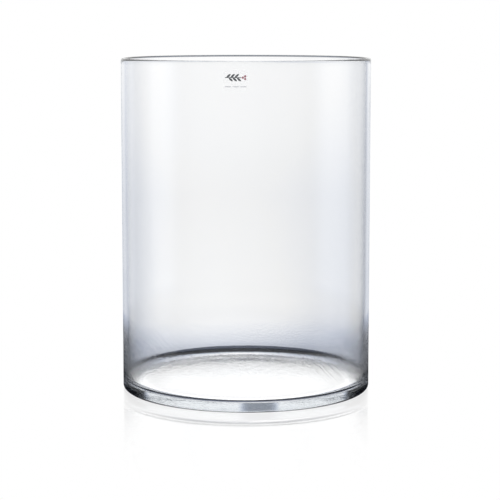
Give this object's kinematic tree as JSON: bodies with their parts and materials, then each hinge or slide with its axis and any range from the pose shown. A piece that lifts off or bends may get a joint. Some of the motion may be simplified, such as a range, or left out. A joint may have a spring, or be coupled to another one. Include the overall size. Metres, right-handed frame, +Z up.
{
  "type": "glass cylinder vase",
  "caption": "Tall clear glass cylinder vase with a straight wall, a heavy flat base, a fire-polished rim and a small clear printed label near the rim.",
  "frame": {"origin": "middle of the plane the vase stands on, on its axis", "axes": "+Z up along the vase's axis; the label faces -Y, turned 4.4 degrees towards -X"},
  "size_m": [0.3, 0.3002, 0.4],
  "materials": {
    "clear_glass": "polished, clear with a faint cool tint",
    "clear_film": "clear glossy self-adhesive film",
    "dark_ink": "printed ink",
    "accent_ink": "printed ink",
    "grey_ink": "printed ink"
  },
  "bodies": {
    "root": {"glass_vase": "clear_glass", "label_film": "clear_film", "label_sprig_print": "dark_ink", "label_berry_print": "accent_ink", "label_rule_print": "grey_ink"}
  },
  "joints": []
}
